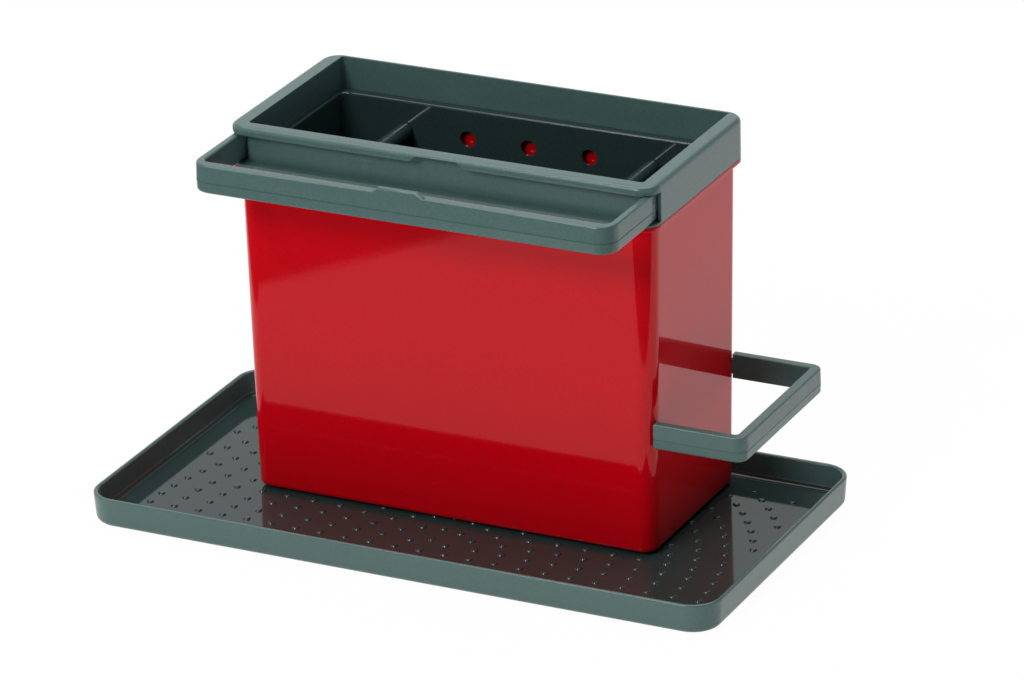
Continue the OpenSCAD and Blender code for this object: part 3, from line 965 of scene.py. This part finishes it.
class CADDY_OT_front_rail(bpy.types.Operator):
    """Model the front towel rail with its finger tab"""

    bl_idname = "caddy.front_rail"
    bl_label = "Front rail"

    def execute(self, context):
        sizes = context.scene.caddy_rails
        low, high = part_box("front_rail")
        half = high.x - sizes.ridge_out
        top = low.z + sizes.front_height
        far = high.y + 2 * sizes.front_corner
        outside = Outline((-half, low.y), (half, far), sizes.front_corner, low.z)
        inner_half = half - sizes.front_arm
        inner_low = (-inner_half, low.y + sizes.front_bar)
        inside = Outline(inner_low, (inner_half, far - sizes.front_bar), sizes.front_inner, low.z)
        piece = rail_ring("front_rail_moulding", outside, inside, (low.z, top), sizes)
        cut_off((0, high.y, 0), (0, 1, 0))
        leave_edit()
        front = low.y + sizes.draft
        slant = (sizes.tab - sizes.tab_top) / 2 / (high.z - top)
        root = sizes.tab_thick
        foot = sizes.tab / 2 + slant * root
        tab = block(
            "tab",
            (-foot, front, top - root),
            (foot, front + sizes.tab_thick, high.z),
            sizes.tab_top / 2 / foot,
        )
        combine(piece, tab, "UNION")
        soften(piece, sizes.front_edge, 4)
        collar_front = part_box("collar")[0].y
        y = collar_front + context.scene.caddy_collar.corner - 2 * sizes.ridge
        for side in (-1, 1):
            x = side * (high.x - sizes.ridge)
            ridge = rod("ridge", (x, y, low.z + sizes.front_height / 2), sizes.ridge, sizes.ridge_long, "Z")
            combine(piece, ridge, "UNION")
        dress(piece, "satin_grey")
        settle(piece, "front_rail", "front_rail")
        return {"FINISHED"}


class CADDY_OT_basket(bpy.types.Operator):
    """Model the basket with its vents, drains and guide ribs"""

    bl_idname = "caddy.basket"
    bl_label = "Basket"

    def execute(self, context):
        sizes = context.scene.caddy_basket
        low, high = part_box("basket")
        rim_top = Outline(low, high, sizes.corner, high.z)
        rim_under = rim_top.at(high.z - sizes.rim)
        width = Vector((sizes.rim_side, sizes.rim_front))
        inner_top = Outline(low.xy + width, high.xy - width, sizes.corner, high.z)
        inner_foot = inner_top.at(low.z + sizes.floor)
        outer_top = inner_top.grown(sizes.wall, high.z - sizes.rim)
        outer_foot = outer_top.at(low.z)
        piece = loft("basket_moulding", [outer_foot, outer_top, rim_under, rim_top, inner_top, inner_foot])
        round_edges(sizes.lower_edge, 3, outer_foot)
        round_edges(sizes.rim_outer_edge, 4, rim_top)
        round_edges(sizes.rim_inner_edge, 4, inner_top)
        leave_edit()
        divider_low, divider_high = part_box("divider_right")
        divider_x = (divider_low.x + divider_high.x) / 2
        middle = (low + high) / 2
        slot = sizes.divider + 2 * sizes.divider_room
        guides = []
        for x in (-divider_x, divider_x):
            for side in (-1, 1):
                near = x + side * slot / 2
                far = near + side * sizes.guide
                for wall_y, out in ((inner_top.low.y, 1), (inner_top.high.y, -1)):
                    ys = sorted((wall_y - out * sizes.wall / 2, wall_y + out * sizes.guide_out))
                    xs = sorted((near, far))
                    floor_z = low.z + sizes.floor
                    rib = block(
                        "rib",
                        (xs[0], ys[0], floor_z - sizes.floor / 2),
                        (xs[1], ys[1], floor_z + sizes.guide_high),
                    )
                    guides.append(rib)
        combine(piece, joined(guides), "UNION")
        holes = []
        for i in (-1, 0, 1):
            place = (i * sizes.vent_step, outer_top.high.y, high.z - sizes.vent_drop)
            holes.append(rod("vent", place, sizes.vent, 4 * sizes.wall, "Y"))
        rows = math.floor(((inner_top.high.y - inner_top.low.y) / 2 - 2 * sizes.drain) / sizes.drain_step)
        clear = divider_x - 2 * sizes.drain - sizes.guide - sizes.divider
        columns = math.floor(clear / sizes.drain_step)
        side_x = (divider_x + inner_top.high.x) / 2
        across = [-side_x, side_x] + [i * sizes.drain_step for i in range(-columns, columns + 1)]
        for x in across:
            for row in range(-rows, rows + 1):
                place = (x, middle.y + row * sizes.drain_step, low.z)
                holes.append(rod("drain", place, sizes.drain, 3 * sizes.floor, "Z"))
        combine(piece, joined(holes), "DIFFERENCE")
        soften(piece, sizes.fine_edge, 2)
        dress(piece, "polished_grey_and_shade")
        settle(piece, "basket", "basket")
        return {"FINISHED"}


class CADDY_OT_dividers(bpy.types.Operator):
    """Model the two dividers with their round beads"""

    bl_idname = "caddy.dividers"
    bl_label = "Dividers"

    def execute(self, context):
        sizes = context.scene.caddy_basket
        for node in ("divider_left", "divider_right"):
            low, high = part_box(node)
            middle = (low + high) / 2
            bead = (high.x - low.x) / 2
            half = sizes.divider / 2
            piece = block(
                node + "_moulding",
                (middle.x - half, low.y, low.z),
                (middle.x + half, high.y, high.z - bead),
            )
            place = (middle.x, middle.y, high.z - bead)
            round_bead = rod("bead", place, bead, high.y - low.y, "Y", BEAD_SIDES)
            combine(piece, round_bead, "UNION")
            soften(piece, sizes.divider_edge, 3)
            dress(piece, "polished_grey_and_shade")
            settle(piece, node, node)
        return {"FINISHED"}


class CADDY_OT_side_rail(bpy.types.Operator):
    """Model the side towel rail with its two tongues"""

    bl_idname = "caddy.side_rail"
    bl_label = "Side rail"

    def bin_room(self, sizes, bottom, top):
        """The bin's outside at the rail's height, with clearance."""
        low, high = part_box("bin")
        inset = sizes.rim_out + sizes.lean * (high.z - top) / (high.z - low.z) - sizes.slot_room
        wall = Outline(low, high, sizes.corner + sizes.rim_out, bottom).grown(-inset)
        room = loft("bin_room", [wall.at(bottom - sizes.corner), wall.at(top + sizes.corner)])
        leave_edit()
        return room

    def execute(self, context):
        sizes = context.scene.caddy_rails
        low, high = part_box("side_rail")
        face_x = low.x + sizes.tongue_long
        near = face_x - 4 * sizes.side_corner
        outside = Outline((near, low.y), high, sizes.side_corner, low.z)
        inner_low = (near + sizes.side_bar, low.y + sizes.side_arm)
        inner_high = (high.x - sizes.side_bar, high.y - sizes.side_arm)
        inside = Outline(inner_low, inner_high, sizes.side_inner, low.z)
        piece = rail_ring("side_rail_moulding", outside, inside, (low.z, high.z), sizes)
        cut_off((face_x - sizes.seat, 0, 0), (-1, 0, 0))
        leave_edit()
        soften(piece, sizes.side_edge, 4)
        combine(piece, self.bin_room(context.scene.caddy_bin, low.z, high.z), "DIFFERENCE")
        middle_z = (low.z + high.z) / 2
        for y in (low.y + sizes.side_arm - sizes.tongue, high.y - sizes.side_arm):
            tongue = block(
                "tongue",
                (low.x, y, middle_z - sizes.tongue_high / 2),
                (face_x + sizes.seat, y + sizes.tongue, middle_z + sizes.tongue_high / 2),
            )
            combine(piece, tongue, "UNION")
        dress(piece, "satin_grey")
        settle(piece, "side_rail", "side_rail")
        return {"FINISHED"}


PIECE_OPERATORS = (
    CADDY_OT_drip_tray,
    CADDY_OT_bin,
    CADDY_OT_collar,
    CADDY_OT_front_rail,
    CADDY_OT_basket,
    CADDY_OT_dividers,
    CADDY_OT_side_rail,
)
GROUPS = {
    "caddy_tray": CaddyTraySizes,
    "caddy_bin": CaddyBinSizes,
    "caddy_collar": CaddyCollarSizes,
    "caddy_rails": CaddyRailSizes,
    "caddy_basket": CaddyBasketSizes,
    "caddy_finish": CaddyFinish,
    "caddy_stage": CaddyStage,
}


class CADDY_PT_pieces(bpy.types.Panel):
    """Lists the caddy's pieces, sizes and finishes"""

    bl_idname = "CADDY_PT_pieces"
    bl_label = "Cleaning Caddy"
    bl_space_type = "VIEW_3D"
    bl_region_type = "UI"
    bl_category = "Caddy"

    def draw(self, context):
        buttons = self.layout.column(align=True)
        for operator in (CADDY_OT_stage, *PIECE_OPERATORS):
            buttons.operator(operator.bl_idname)
        for name, group in GROUPS.items():
            box = self.layout.box()
            box.label(text=group.__doc__)
            for entry in group.__annotations__:
                box.prop(getattr(context.scene, name), entry)


CLASSES = (*GROUPS.values(), CADDY_OT_stage, *PIECE_OPERATORS, CADDY_PT_pieces)


def register():
    for entry in CLASSES:
        bpy.utils.register_class(entry)
    for name, group in GROUPS.items():
        setattr(bpy.types.Scene, name, PointerProperty(type=group))


def unregister():
    for name in GROUPS:
        delattr(bpy.types.Scene, name)
    for entry in reversed(CLASSES):
        bpy.utils.unregister_class(entry)


def main():
    register()
    for operator in (CADDY_OT_stage, *PIECE_OPERATORS):
        group, name = operator.bl_idname.split(".")
        getattr(getattr(bpy.ops, group), name)()


if __name__ == "__main__":
    main()
